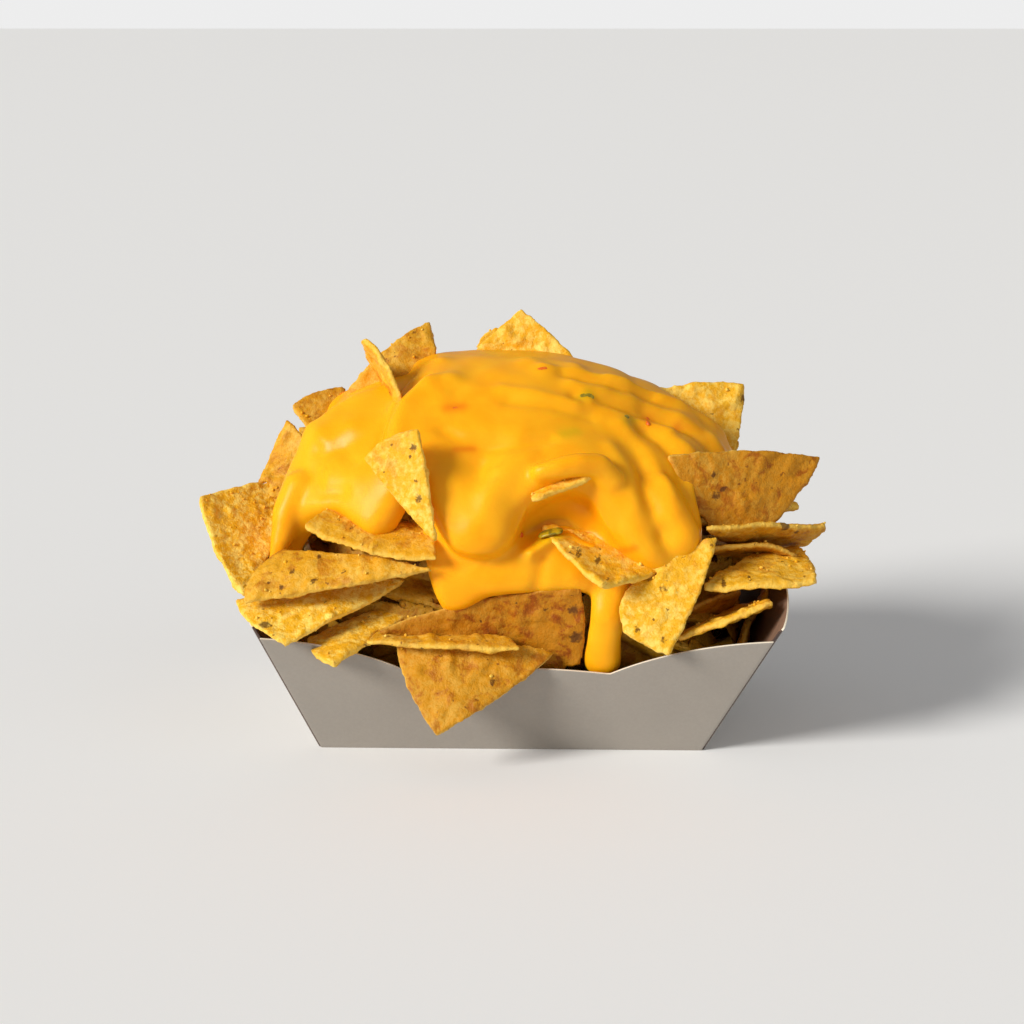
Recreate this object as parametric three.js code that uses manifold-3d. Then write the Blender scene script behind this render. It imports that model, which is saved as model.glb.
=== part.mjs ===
// Nachos in a folded card food tray: a heap of triangular tortilla chips with
// cheese sauce poured over it.
//
// Frame: millimetres, +Z up. The origin is the middle of the tray's flat base, on
// the surface it stands on. X runs along the tray, and -Y is its front.

import * as THREE from 'three';
import { mergeVertices } from 'three/addons/utils/BufferGeometryUtils.js';
import Module from 'manifold-3d';

// ---- driving dimensions -------------------------------------------------------

const TRAY = {
  baseLength: 124,
  baseWidth: 76,
  cornerHeight: 42,
  // how far each wall leans out by the height of the corners
  flare: { front: 20, back: 20, right: 20, left: 16 },
  card: 0.6,
  sideHump: 12, // how far the side walls rise above the corners
  notchHeight: 29.5, // the two low points of the front and the back rim
  notchX: 31,
  middleHeight: 31.5,
};

const CHIP = {
  side: 58,
  depth: 50, // from a corner to the side across from it
  thickness: 2,
  steps: 12, // points round the edge
  cornerRadius: 0.97, // 1 would leave the corners at their full length
  sharpness: 8,
  sideBulge: 0.06,
};

const GAP = 0.3; // kept between pieces that touch

// The heap is a rounded mound, a superellipsoid about its middle.
const MOUND = {
  x: 1,
  y: 0,
  z: 50,
  halfLength: 84,
  halfWidth: 58,
  rise: 71,
  fullness: { left: 2.25, right: 1.9, below: 4.5 }, // 2 is an ellipsoid, more is boxier
};

const CORE = {
  inset: 13, // from the mound's surface to the packed chips under the sauce
  wallRoom: 4, // left for the chips that stand against the tray's walls
  floor: 1.5,
  steps: 24,
  rings: 10,
};

const SAUCE = {
  wallRoom: 1.4,
  steps: 56,
  rings: 5,
  frontTurn: -100, // degrees: points gather round this side, where the lobes are narrow
  gather: 0.5,
};

// ---- materials ----------------------------------------------------------------

const surface = (color, roughness) =>
  new THREE.MeshStandardMaterial({ color, roughness, metalness: 0 });

const finishes = {
  card: surface('#a9a29b', 0.7),
  chip: surface('#e2ab35', 0.75),
  core: surface('#8a4c12', 0.9),
  sauce: surface('#fcb428', 0.35),
};

// ---- solids -------------------------------------------------------------------

const degrees = THREE.MathUtils.degToRad;

const wasm = await Module();
wasm.setup();

function toSolid(geometry) {
  const shell = geometry.clone();
  shell.deleteAttribute('normal');
  shell.deleteAttribute('uv');
  const merged = mergeVertices(shell, 1e-4);
  return new wasm.Manifold(
    new wasm.Mesh({
      numProp: 3,
      vertProperties: Float32Array.from(merged.attributes.position.array),
      triVerts: Uint32Array.from(merged.index.array),
    }),
  );
}

function toGeometry(solid) {
  const mesh = solid.getMesh();
  const geometry = new THREE.BufferGeometry();
  geometry.setAttribute('position', new THREE.BufferAttribute(mesh.vertProperties, 3));
  geometry.setIndex(new THREE.BufferAttribute(mesh.triVerts, 1));
  geometry.computeVertexNormals();
  return geometry;
}

// A cut can leave loose crumbs: the piece is what is left of its main body.
function mainBody(solid) {
  const bodies = solid.decompose();
  return bodies.reduce((best, body) => (body.volume() > best.volume() ? body : best));
}

// Turns a profile of [radius, height] points about the axis, then moves each vertex:
// place(radius, height, angle) gives its position.
function turnedShell(profile, steps, place) {
  const geometry = new THREE.LatheGeometry(
    profile.map(([radius, height]) => new THREE.Vector2(radius, height)),
    steps,
  );
  const position = geometry.attributes.position;
  for (let i = 0; i < position.count; i += 1) {
    const x = position.getX(i);
    const z = position.getZ(i);
    const point = place(Math.hypot(x, z), position.getY(i), Math.atan2(z, x));
    position.setXYZ(i, point.x, point.y, point.z);
  }
  return geometry;
}

// ---- the tray -----------------------------------------------------------------

const leanOf = (flare) => Math.atan2(flare, TRAY.cornerHeight);

// The rim of the front and the back wall, drawn flat with the height up the wall: a
// low hump in the middle, a notch each side of it, and a shoulder up to each corner.
function longWallOutline({ toLeft, toRight, lean }) {
  const half = TRAY.baseLength / 2;
  const up = (height) => height / Math.cos(lean);
  const corner = up(TRAY.cornerHeight);
  const notch = up(TRAY.notchHeight);
  const crown = 2 * up(TRAY.middleHeight) - notch;
  const shoulder = corner - 1.5;
  const bend = (end) => TRAY.notchX + 0.42 * (end - TRAY.notchX);
  const left = half + toLeft;
  const right = half + toRight;
  const shape = new THREE.Shape();
  shape.moveTo(-half, 0);
  shape.lineTo(half, 0);
  shape.lineTo(right, corner);
  shape.quadraticCurveTo(bend(right), shoulder, TRAY.notchX, notch);
  shape.quadraticCurveTo(0, crown, -TRAY.notchX, notch);
  shape.quadraticCurveTo(-bend(left), shoulder, -left, corner);
  return shape;
}

// The side walls rise in a broad round hump above the corners.
function sideWallOutline({ toLeft, toRight, lean }) {
  const half = TRAY.baseWidth / 2;
  const low = TRAY.cornerHeight / Math.cos(lean);
  const high = (TRAY.cornerHeight + TRAY.sideHump) / Math.cos(lean);
  const bend = low + 0.7 * (high - low);
  const left = half + toLeft;
  const right = half + toRight;
  const shape = new THREE.Shape();
  shape.moveTo(-half, 0);
  shape.lineTo(half, 0);
  shape.lineTo(right, low);
  shape.bezierCurveTo(right, bend, 0.7 * right, high, 0, high);
  shape.bezierCurveTo(-0.7 * left, high, -left, bend, -left, low);
  return shape;
}

// The four walls, each turned about Z from the front: how far its foot is from the
// middle, how far it leans out, and the same for the walls at its two ends.
const { front, back, right, left } = TRAY.flare;
const walls = [
  { outline: longWallOutline, foot: TRAY.baseWidth / 2, turn: 0, out: front, ends: [left, right] },
  { outline: sideWallOutline, foot: TRAY.baseLength / 2, turn: 90, out: right, ends: [front, back] },
  { outline: longWallOutline, foot: TRAY.baseWidth / 2, turn: 180, out: back, ends: [right, left] },
  { outline: sideWallOutline, foot: TRAY.baseLength / 2, turn: 270, out: left, ends: [back, front] },
];

// A wall stands on the base's edge and leans outwards; its thickness goes inwards.
function wallSolid({ outline, foot, turn, out, ends: [toLeft, toRight] }, margin) {
  const lean = leanOf(out);
  const geometry = new THREE.ExtrudeGeometry(outline({ toLeft, toRight, lean }), {
    depth: TRAY.card + 2 * margin,
    bevelEnabled: false,
    curveSegments: 8,
  });
  geometry.translate(0, 0, -TRAY.card - margin);
  geometry.rotateX(Math.PI / 2 + lean);
  geometry.translate(0, -foot, 0);
  geometry.rotateZ(degrees(turn));
  return toSolid(geometry);
}

function foldedTray(margin = 0) {
  const base = new THREE.BoxGeometry(TRAY.baseLength, TRAY.baseWidth, TRAY.card + margin);
  base.translate(0, 0, (TRAY.card + margin) / 2);
  return walls.reduce((tray, wall) => tray.add(wallSolid(wall, margin)), toSolid(base));
}

// Moves a point that is below the tray's corners to inside its walls.
function keepInsideTray(point, clearance) {
  if (point.z > TRAY.cornerHeight) {
    return point;
  }
  const reach = (half, flare) => half + (flare * point.z) / TRAY.cornerHeight - clearance;
  const { baseLength, baseWidth } = TRAY;
  point.x = Math.min(Math.max(point.x, -reach(baseLength / 2, left)), reach(baseLength / 2, right));
  point.y = Math.min(Math.max(point.y, -reach(baseWidth / 2, front)), reach(baseWidth / 2, back));
  return point;
}

// ---- chips --------------------------------------------------------------------

// The outline of a rounded equilateral triangle whose corners are 1 from its middle.
// A snapped corner is broken off by that part of the chip's height.
function chipRadius(angle, snap) {
  const third = (2 * Math.PI) / 3;
  const turn = ((angle % third) + third) % third;
  const fromSide = turn - third / 2;
  const bulge = 1 + CHIP.sideBulge * Math.cos(1.5 * fromSide) ** 2;
  const side = (0.5 * bulge) / Math.cos(fromSide);
  const limits = [side, CHIP.cornerRadius];
  const toBreak = Math.cos(angle - third * 2);
  if (snap > 0 && toBreak > 0.2) {
    limits.push((1 - 1.5 * snap) / toBreak);
  }
  const power = CHIP.sharpness;
  const sum = limits.reduce((total, limit) => total + limit ** -power, 0);
  return sum ** (-1 / power);
}

// A chip is a thin plate between three corners. Each edge is bowed by its own height
// at its middle, so a chip can be domed, rolled or twisted.
function chip({ corners, bow = [0, 0, 0], snap = 0 }, margin = 0) {
  const [a, b, c] = corners.map((corner) => new THREE.Vector3(...corner));
  const middle = new THREE.Vector3().add(a).add(b).add(c).divideScalar(3);
  const normal = b.clone().sub(a).cross(c.clone().sub(a)).normalize();
  const half = CHIP.thickness / 2 + margin;
  const profile = [[0, half], [0.5, half], [1, half], [1, -half], [0.5, -half], [0, -half]];
  const grow = 1 + margin / (middle.distanceTo(a) * 0.5);
  const place = (radius, height, angle) => {
    // points gather at the corners, where the outline turns
    const spread = angle - 0.27 * Math.sin(3 * angle);
    const reach = radius * chipRadius(spread, snap) * grow;
    const u = reach * Math.cos(spread);
    const v = reach * Math.sin(spread);
    const wa = (1 + 2 * u) / 3;
    const wb = (1 - u + Math.sqrt(3) * v) / 3;
    const wc = (1 - u - Math.sqrt(3) * v) / 3;
    const lift = 4 * (bow[0] * wa * wb + bow[1] * wb * wc + bow[2] * wc * wa);
    return new THREE.Vector3()
      .addScaledVector(a, wa)
      .addScaledVector(b, wb)
      .addScaledVector(c, wc)
      .addScaledVector(normal, lift + height);
  };
  return toSolid(turnedShell(profile, CHIP.steps, place));
}

// Every chip by its place in the heap. One that is listed later gives way, inside the
// heap, to those before it.
const chips = {
  // over the front rim
  chip_front_upright: { corners: [[-45, -55, 44], [24, -52, 59], [20, -45, 20]], bow: [3, 0, 1] },
  chip_front_rim: {
    corners: [[-47, -59, 41], [6, -61, 39], [-20, -22, 43]],
    bow: [1, 1, 1],
    snap: 0.5,
  },
  chip_front_hanging: { corners: [[-38, -52, 42], [-23, -67, 12], [17, -49, 36]], bow: [1, 3, 2] },
  // front left
  chip_left_curled: { corners: [[-66, -51, 76], [-20, -60, 67], [-38, -18, 77]], bow: [-2, 2, 3] },
  chip_left_middle: { corners: [[-84, -57, 52], [-20, -57, 64], [-73, -41, 66]], bow: [1, 2, 2] },
  chip_left_low: { corners: [[-88, -50, 52], [-69, -65, 41], [-24, -34, 58]], bow: [1, 1, 1] },
  chip_left_lowest: { corners: [[-65, -50, 39], [-54, -67, 35], [-20, -30, 52]], bow: [1, 0, 1] },
  chip_left_big: { corners: [[-102, -24, 80], [-68, 2, 81], [-83, -46, 50]], bow: [2, 1, 1] },
  // on the sauce and in its hollow
  chip_spotted: { corners: [[-27, -54, 109], [-46, -50, 98], [-21, -62, 72]], bow: [0, 0, 1] },
  chip_hollow_upper: { corners: [[5, -58, 85], [28, -50, 92], [20, -20, 97]], bow: [1, 0, 0] },
  chip_hollow_lower: { corners: [[28, -67, 61], [7, -45, 76], [57, -38, 63]], bow: [0, 0, 1] },
  // front right
  chip_right_hanging: {
    corners: [[49, -63, 37], [66, -44, 74], [22, -54, 54]],
    bow: [1, 0, 0],
    snap: 0.35,
  },
  chip_right_edge: { corners: [[102, -24, 72], [58, -46, 76], [82, 8, 54]], bow: [1, 2, 3] },
  chip_right_upper: { corners: [[100, -18, 93], [46, -33, 96], [72, -35, 60]], bow: [3, 0, 1] },
  chip_right_light: { corners: [[57, -51, 56], [96, -49, 59], [92, -8, 62]], bow: [0, 0, 2] },
  chip_right_low: { corners: [[50, -57, 41], [82, -53, 54], [76, -12, 40]], bow: [0, 0, 1] },
  chip_right_dark: { corners: [[94, -30, 60], [60, -40, 66], [72, 4, 50]], bow: [-4, -2, -2] },
  chip_right_inner: { corners: [[55, -38, 46], [74, -26, 52], [58, -10, 19]], bow: [0, 0, 0] },
  chip_right_wall: { corners: [[85, -8, 50], [71, -46, 35], [76, 10, 22]], bow: [0, 0, 0] },
  // top and back
  chip_back_right: { corners: [[78, 20, 110], [38, 12, 107], [70, 0, 79]], bow: [1, 0, 0] },
  chip_top: { corners: [[2, 20, 136], [-27, 10, 104], [33, 6, 104]], bow: [0, 0, 0] },
  chip_top_edge: { corners: [[-14, 26, 121], [-5, 30, 127], [2, 14, 97]], bow: [0, 0, 0] },
  chip_left_tilted: { corners: [[-27, 12, 133], [-60, 0, 103], [-22, -14, 92]], bow: [4, 0, 0] },
  chip_left_thin: { corners: [[-48, -22, 131], [-34, -32, 109], [-44, 18, 106]], bow: [2, 0, 0] },
  chip_left_rear: { corners: [[-75, 6, 104], [-56, 16, 109], [-53, -10, 82]], bow: [0, 0, 0] },
  chip_left_outer: { corners: [[-86, -10, 76], [-75, 4, 101], [-54, -14, 76]], bow: [3, 0, 0] },
};

// ---- the mound under the sauce --------------------------------------------------

// A point on the mound, pushed out along its own direction. turn is the angle about
// the vertical from +X, and rise is the angle above the mound's middle.
function moundPoint(turn, rise, out) {
  const direction = new THREE.Vector3(
    Math.cos(rise) * Math.cos(turn),
    Math.cos(rise) * Math.sin(turn),
    Math.sin(rise),
  );
  const { halfLength, halfWidth, rise: height } = MOUND;
  const toRight = THREE.MathUtils.smoothstep(direction.x, -0.3, 0.5);
  const above = THREE.MathUtils.lerp(MOUND.fullness.left, MOUND.fullness.right, toRight);
  const below = THREE.MathUtils.smoothstep(-direction.z, 0, 0.35);
  const fullness = THREE.MathUtils.lerp(above, MOUND.fullness.below, below);
  const sum =
    Math.abs(direction.x) ** fullness +
    Math.abs(direction.y) ** fullness +
    Math.abs(direction.z) ** fullness;
  const scale = sum ** (-1 / fullness);
  return new THREE.Vector3(
    MOUND.x + direction.x * (halfLength * scale + out),
    MOUND.y + direction.y * (halfWidth * scale + out),
    MOUND.z + direction.z * (height * scale + out),
  );
}

// A chip that sticks out of the heap, tip first: the way it points about the vertical,
// the height it comes out at, how far its tip stands clear of the mound, how steeply it
// points up, and how far the plate is rolled about that direction.
function sproutingChip([turn, height, clear, lean, roll]) {
  const out = new THREE.Vector3(Math.cos(degrees(turn)), Math.sin(degrees(turn)), 0);
  const up = new THREE.Vector3(0, 0, 1);
  const along = new THREE.Vector3().crossVectors(up, out);
  const points = out.clone().multiplyScalar(Math.cos(degrees(lean)));
  points.addScaledVector(up, Math.sin(degrees(lean)));
  const across = along.clone().applyAxisAngle(points, degrees(roll));
  const rise = Math.atan2((height - MOUND.z) / MOUND.rise, 0.9);
  const tip = moundPoint(degrees(turn), rise, 0).addScaledVector(points, clear);
  const back = tip.clone().addScaledVector(points, -CHIP.depth);
  const corners = [
    tip,
    back.clone().addScaledVector(across, CHIP.side / 2),
    back.clone().addScaledVector(across, -CHIP.side / 2),
  ];
  return { corners: corners.map((corner) => corner.toArray()), bow: [1, 0, 1] };
}

// The chips round the far side: [turn, height, clear, lean, roll]. The first row lies
// on the rim, the second over it, and the last stands up through the sauce's edge.
const rearChips = [
  [18, 48, 17, -4, 12],
  [44, 45, 17, -10, -12],
  [69, 44, 19, -16, 10],
  [95, 46, 18, -6, -12],
  [120, 44, 18, -14, 12],
  [146, 47, 17, -6, -10],
  [170, 49, 16, -4, 12],
  [5, 66, 17, 10, -18],
  [32, 61, 19, 6, 16],
  [57, 64, 18, 14, -12],
  [82, 61, 20, 4, 14],
  [107, 65, 18, 12, -18],
  [132, 62, 19, 6, 14],
  [158, 65, 18, 8, -12],
  [26, 84, 16, 26, 34],
  [73, 82, 17, 32, -28],
  [110, 85, 15, 24, 38],
  [147, 82, 17, 30, -30],
];

function heapCore(margin = 0) {
  const geometry = new THREE.SphereGeometry(1, CORE.steps, CORE.rings);
  geometry.rotateX(Math.PI / 2);
  const position = geometry.attributes.position;
  const direction = new THREE.Vector3();
  for (let i = 0; i < position.count; i += 1) {
    direction.fromBufferAttribute(position, i);
    const turn = Math.atan2(direction.y, direction.x);
    const rise = Math.asin(THREE.MathUtils.clamp(direction.z, -1, 1));
    // packed chips leave an uneven, ridged outline
    const uneven = 2 * Math.sin(5 * turn + 1) * Math.cos(rise) + 1.5 * Math.sin(9 * turn);
    const out = margin - CORE.inset + uneven * Math.cos(rise);
    const point = keepInsideTray(moundPoint(turn, rise, out), CORE.wallRoom - margin);
    point.z = Math.max(point.z, CORE.floor - margin);
    position.setXYZ(i, point.x, point.y, point.z);
  }
  return toSolid(geometry);
}

// ---- cheese sauce ---------------------------------------------------------------

// A bump of the given half width about an angle, flat on top and 1 high.
function lobeShape(turn, at, halfWidth) {
  const away = Math.atan2(Math.sin(turn - degrees(at)), Math.cos(turn - degrees(at)));
  return Math.exp(-((away / degrees(halfWidth)) ** 4));
}

// A layer of sauce from the top of the mound down to its own uneven edge. reach is
// how far down the edge comes, in degrees above the mound's middle; top and under are
// its two faces, measured out from the mound. Each lobe runs further down:
// [where it is, half its width, how many degrees lower, how much fatter].
function sauceLayer({ reach, top, under, lobes }) {
  const profile = [];
  for (let ring = 0; ring <= SAUCE.rings; ring += 1) {
    profile.push([ring / SAUCE.rings, 1]);
  }
  profile.push([1.015, 0.5], [1, 0], [0.88, 0], [0.5, 0], [0, 0]);
  const place = (down, layer, angle) => {
    const turn = angle - SAUCE.gather * Math.sin(angle - degrees(SAUCE.frontTurn));
    let edge = reach;
    let swell = 0;
    for (const [at, halfWidth, lower, fatter] of lobes) {
      const lobe = lobeShape(turn, at, halfWidth);
      edge -= lower * lobe;
      swell += fatter * lobe;
    }
    const rise = degrees(90 - down * (90 - edge));
    const fat = top + swell * THREE.MathUtils.smoothstep(down, 0.6, 0.9);
    const overEdge = Math.max(0, (down - 0.86) / 0.155);
    const rounding = 0.35 + 0.65 * Math.sqrt(Math.max(0, 1 - overEdge ** 2));
    const out = THREE.MathUtils.lerp(under, fat, layer * rounding);
    return keepInsideTray(moundPoint(turn, rise, out), SAUCE.wallRoom);
  };
  return toSolid(turnedShell(profile, SAUCE.steps, place));
}

const upperSauce = {
  reach: 34,
  top: 1,
  under: -3,
  lobes: [
    [-97, 11, 20, 5], // the fat lobe in the middle
    [-54, 15, 31, 5], // the right lobe
    [-120, 6, 16, 4], // the drop left of the spotted chip
    [-147, 17, 16, 2], // the broad left fall
    [-151, 6, 11, 0], // its thin tail
    [162, 12, 14, 2], // the lobes on the far side
    [128, 13, 20, 4],
    [92, 14, 28, 4],
    [55, 12, 17, 4],
  ],
};

const lowerSauce = {
  reach: 40,
  top: -1,
  under: -6,
  lobes: [
    [-85, 21, 34, 0], // the sheet under the hollow
    [-71, 4, 20, 2], // the drip that runs down to the rim
  ],
};

// ---- assembly -------------------------------------------------------------------

const part = new THREE.Group();

function addPiece(name, solid, finish) {
  const mesh = new THREE.Mesh(toGeometry(solid), finish);
  mesh.name = name;
  part.add(mesh);
}

addPiece('tray', foldedTray(), finishes.card);

// Everything placed so far, grown by the gap that the next piece has to keep.
let taken = foldedTray(GAP);

rearChips.forEach((place, index) => {
  chips[`chip_rear_${String(index + 1).padStart(2, '0')}`] = sproutingChip(place);
});

addPiece('chip_heap', heapCore(), finishes.core);
taken = taken.add(heapCore(GAP));

for (const [name, shape] of Object.entries(chips)) {
  const solid = mainBody(chip(shape).subtract(taken));
  addPiece(name, solid, finishes.chip);
  taken = taken.add(chip(shape, GAP));
}

const sauce = sauceLayer(upperSauce).add(sauceLayer(lowerSauce));
addPiece('cheese_sauce', mainBody(sauce.subtract(taken)), finishes.sauce);

export default part;
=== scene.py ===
# %% [markdown]
# # Nachos in a folded card tray
#
# A grey card tray holds a heap of triangular corn chips, with cheese sauce poured over
# the top. The plain solids from the CAD step give the place and the size of every
# piece. This lesson gives each of them its real surface: folded card, blistered and
# toasted chips, and thick sauce that runs down in lobes.

# %% Load the frame
import math
import random

import bmesh
import bpy
import numpy as np
from mathutils import Euler, Matrix, Vector, kdtree, noise
from mathutils.bvhtree import BVHTree


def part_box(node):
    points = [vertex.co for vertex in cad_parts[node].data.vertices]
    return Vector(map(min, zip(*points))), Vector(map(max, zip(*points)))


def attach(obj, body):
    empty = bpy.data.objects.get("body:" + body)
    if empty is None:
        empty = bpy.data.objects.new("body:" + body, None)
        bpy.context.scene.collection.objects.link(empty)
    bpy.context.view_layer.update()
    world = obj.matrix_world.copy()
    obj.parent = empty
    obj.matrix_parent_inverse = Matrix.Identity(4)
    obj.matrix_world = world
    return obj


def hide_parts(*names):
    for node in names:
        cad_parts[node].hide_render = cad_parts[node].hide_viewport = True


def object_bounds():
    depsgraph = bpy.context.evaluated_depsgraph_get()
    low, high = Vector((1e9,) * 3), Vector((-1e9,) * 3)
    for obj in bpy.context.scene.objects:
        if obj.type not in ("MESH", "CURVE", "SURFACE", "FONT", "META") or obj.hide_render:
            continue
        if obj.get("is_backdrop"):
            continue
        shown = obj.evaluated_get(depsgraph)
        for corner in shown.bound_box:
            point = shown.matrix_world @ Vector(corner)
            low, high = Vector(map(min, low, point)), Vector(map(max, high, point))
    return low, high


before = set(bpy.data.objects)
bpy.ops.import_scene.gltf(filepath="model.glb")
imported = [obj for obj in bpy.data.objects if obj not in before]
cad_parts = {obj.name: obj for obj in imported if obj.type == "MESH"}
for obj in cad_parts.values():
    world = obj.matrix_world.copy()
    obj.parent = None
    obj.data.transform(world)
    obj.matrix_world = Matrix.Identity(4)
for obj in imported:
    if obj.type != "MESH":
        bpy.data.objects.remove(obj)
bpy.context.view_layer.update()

MM = 0.001

# %% [markdown]
# ## Camera and light
#
# The camera looks slightly down on the front of the tray through a long lens, which
# keeps the tray's sides from spreading. Food is lit by one large soft light from the
# upper left: a sun lamp with a wide angle has soft edges to its shadows and lights a
# wide floor evenly, which an area lamp of a real size wouldn't do. A second sun, far
# weaker and wider, lightens the shadows at the right a little.

# %% Camera
LOOK_AT = Vector((-0.6, 0, 69.15)) * MM
DISTANCE = 710 * MM
CAMERA_AZIMUTH = math.radians(1.38)
CAMERA_ELEVATION = math.radians(13)
FOCAL_LENGTH = 75.54

lens = bpy.data.cameras.new("camera")
lens.lens = FOCAL_LENGTH
lens.clip_start = 0.01
camera = bpy.data.objects.new("camera", lens)
bpy.context.scene.collection.objects.link(camera)
bpy.context.scene.camera = camera
towards_camera = Vector((
    math.sin(CAMERA_AZIMUTH) * math.cos(CAMERA_ELEVATION),
    -math.cos(CAMERA_AZIMUTH) * math.cos(CAMERA_ELEVATION),
    math.sin(CAMERA_ELEVATION),
))
camera.location = LOOK_AT + towards_camera * DISTANCE
camera.rotation_euler = (-towards_camera).to_track_quat("-Z", "Y").to_euler()
print("camera at", [round(v, 3) for v in camera.location])


# %% Lights, world and floor
def sun(name, direction, strength, angle, colour=(1, 1, 1)):
    """A sun lamp that shines from a direction. A wide angle makes its shadows soft."""
    lamp = bpy.data.lights.new(name, "SUN")
    lamp.energy = strength
    lamp.angle = math.radians(angle)
    lamp.color = colour
    light = bpy.data.objects.new(name, lamp)
    light.rotation_euler = Vector(direction).to_track_quat("Z", "Y").to_euler()
    bpy.context.scene.collection.objects.link(light)


sun("key_light", (-0.82, -0.62, 0.5), 3.6, 20, (1, 0.98, 0.94))
sun("fill_light", (0.9, -0.8, 0.5), 0.25, 60)

# the room behind shows a little brighter than the floor, but lights the food less than that
AMBIENT = 0.3
SEEN_BACKGROUND = 0.85
world = bpy.data.worlds.new("studio")
world.use_nodes = True
sky = world.node_tree.nodes
path = sky.new("ShaderNodeLightPath")
strength = sky.new("ShaderNodeMapRange")
strength.inputs["To Min"].default_value = AMBIENT
strength.inputs["To Max"].default_value = SEEN_BACKGROUND
world.node_tree.links.new(path.outputs["Is Camera Ray"], strength.inputs["Value"])
world.node_tree.links.new(strength.outputs["Result"], sky["Background"].inputs["Strength"])
sky["Background"].inputs["Color"].default_value = (1, 1, 1, 1)
bpy.context.scene.world = world
bpy.context.scene.view_settings.view_transform = "Standard"


# %% [markdown]
# ## Shared effects
#
# Corn chips, the broken chips packed under them and the loose crumbs all share the same
# mottled, toasted surface. So it is made as shader node groups, with the scale and the
# amount as inputs. The groups put out masks and heights; each material mixes its own
# colours from them.

# %% Small helpers for node trees
def linear(red, green, blue):
    """The linear colour of an sRGB colour given from 0 to 255."""
    def channel(value):
        value /= 255
        return value / 12.92 if value <= 0.04045 else ((value + 0.055) / 1.055) ** 2.4
    return (channel(red), channel(green), channel(blue), 1)


class Nodes:
    """Adds nodes to a tree and links them: values and sockets are given by input name."""

    def __init__(self, tree):
        self.tree = tree

    def add(self, kind, settings=None, **inputs):
        node = self.tree.nodes.new(kind)
        for key, value in (settings or {}).items():
            setattr(node, key, value)
        for key, value in inputs.items():
            self.put(node.inputs[key.replace("_", " ")], value)
        return node

    def put(self, socket, value):
        if isinstance(value, bpy.types.NodeSocket):
            self.tree.links.new(value, socket)
        else:
            socket.default_value = value

    def math(self, operation, first, second=0.0):
        node = self.add("ShaderNodeMath", {"operation": operation})
        self.put(node.inputs[0], first)
        self.put(node.inputs[1], second)
        return node.outputs[0]

    def band(self, value, low, high):
        """0 below low, 1 above high, and smooth between."""
        node = self.add("ShaderNodeMapRange", {"interpolation_type": "SMOOTHSTEP"},
                        Value=value, From_Min=low, From_Max=high)
        return node.outputs["Result"]

    def mix(self, factor, first, second, blend="MIX"):
        node = self.add("ShaderNodeMix", {"data_type": "RGBA", "blend_type": blend})
        self.put(node.inputs["Factor"], factor)
        self.put(node.inputs[6], first)
        self.put(node.inputs[7], second)
        return node.outputs[2]

    def noise(self, vector, scale, detail=2.0, roughness=0.5, distortion=0.0):
        node = self.add("ShaderNodeTexNoise", None, Vector=vector, Scale=scale,
                        Detail=detail, Roughness=roughness, Distortion=distortion)
        return node.outputs["Fac"]

    def attribute(self, name):
        return self.add("ShaderNodeAttribute", {"attribute_name": name}).outputs["Fac"]


def effect(name, inputs, outputs):
    """A new shader node group, and its input and output sockets by name."""
    group = bpy.data.node_groups.new(name, "ShaderNodeTree")
    for socket, default in inputs.items():
        kind = "NodeSocketVector" if default is None else "NodeSocketFloat"
        made = group.interface.new_socket(socket, in_out="INPUT", socket_type=kind)
        if default is not None:
            made.default_value = default
    for socket in outputs:
        group.interface.new_socket(socket, in_out="OUTPUT", socket_type="NodeSocketFloat")
    nodes = Nodes(group)
    given = nodes.add("NodeGroupInput").outputs
    result = nodes.add("NodeGroupOutput").inputs
    return nodes, given, result


def use_effect(nodes, name, **inputs):
    node = nodes.add("ShaderNodeGroup", {"node_tree": bpy.data.node_groups[name]}, **inputs)
    return node.outputs


def new_material(name):
    material = bpy.data.materials.new(name)
    material.use_nodes = True
    nodes = Nodes(material.node_tree)
    shader = material.node_tree.nodes["Principled BSDF"]
    place = nodes.add("ShaderNodeTexCoord").outputs["Object"]
    return material, nodes, shader, place


# %% Effect: corn mottle
nodes, given, result = effect("corn_mottle", {"Vector": None, "Scale": 1.0},
                              ["Pale", "Toast", "Speckle"])
patches = nodes.noise(given["Vector"], nodes.math("MULTIPLY", given["Scale"], 190.0), 4, 0.6, 0.8)
clouds = nodes.noise(given["Vector"], nodes.math("MULTIPLY", given["Scale"], 560.0), 3, 0.6, 0.5)
toast = nodes.noise(given["Vector"], nodes.math("MULTIPLY", given["Scale"], 170.0), 4, 0.65, 0.5)
grains = nodes.noise(given["Vector"], nodes.math("MULTIPLY", given["Scale"], 1500.0), 2, 0.6)
mixed = nodes.math("ADD", nodes.math("MULTIPLY", patches, 0.5), nodes.math("MULTIPLY", clouds, 0.5))
nodes.put(result["Pale"], nodes.band(mixed, 0.43, 0.62))
nodes.put(result["Toast"], nodes.band(toast, 0.5, 0.66))
nodes.put(result["Speckle"], nodes.band(grains, 0.35, 0.7))

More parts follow.
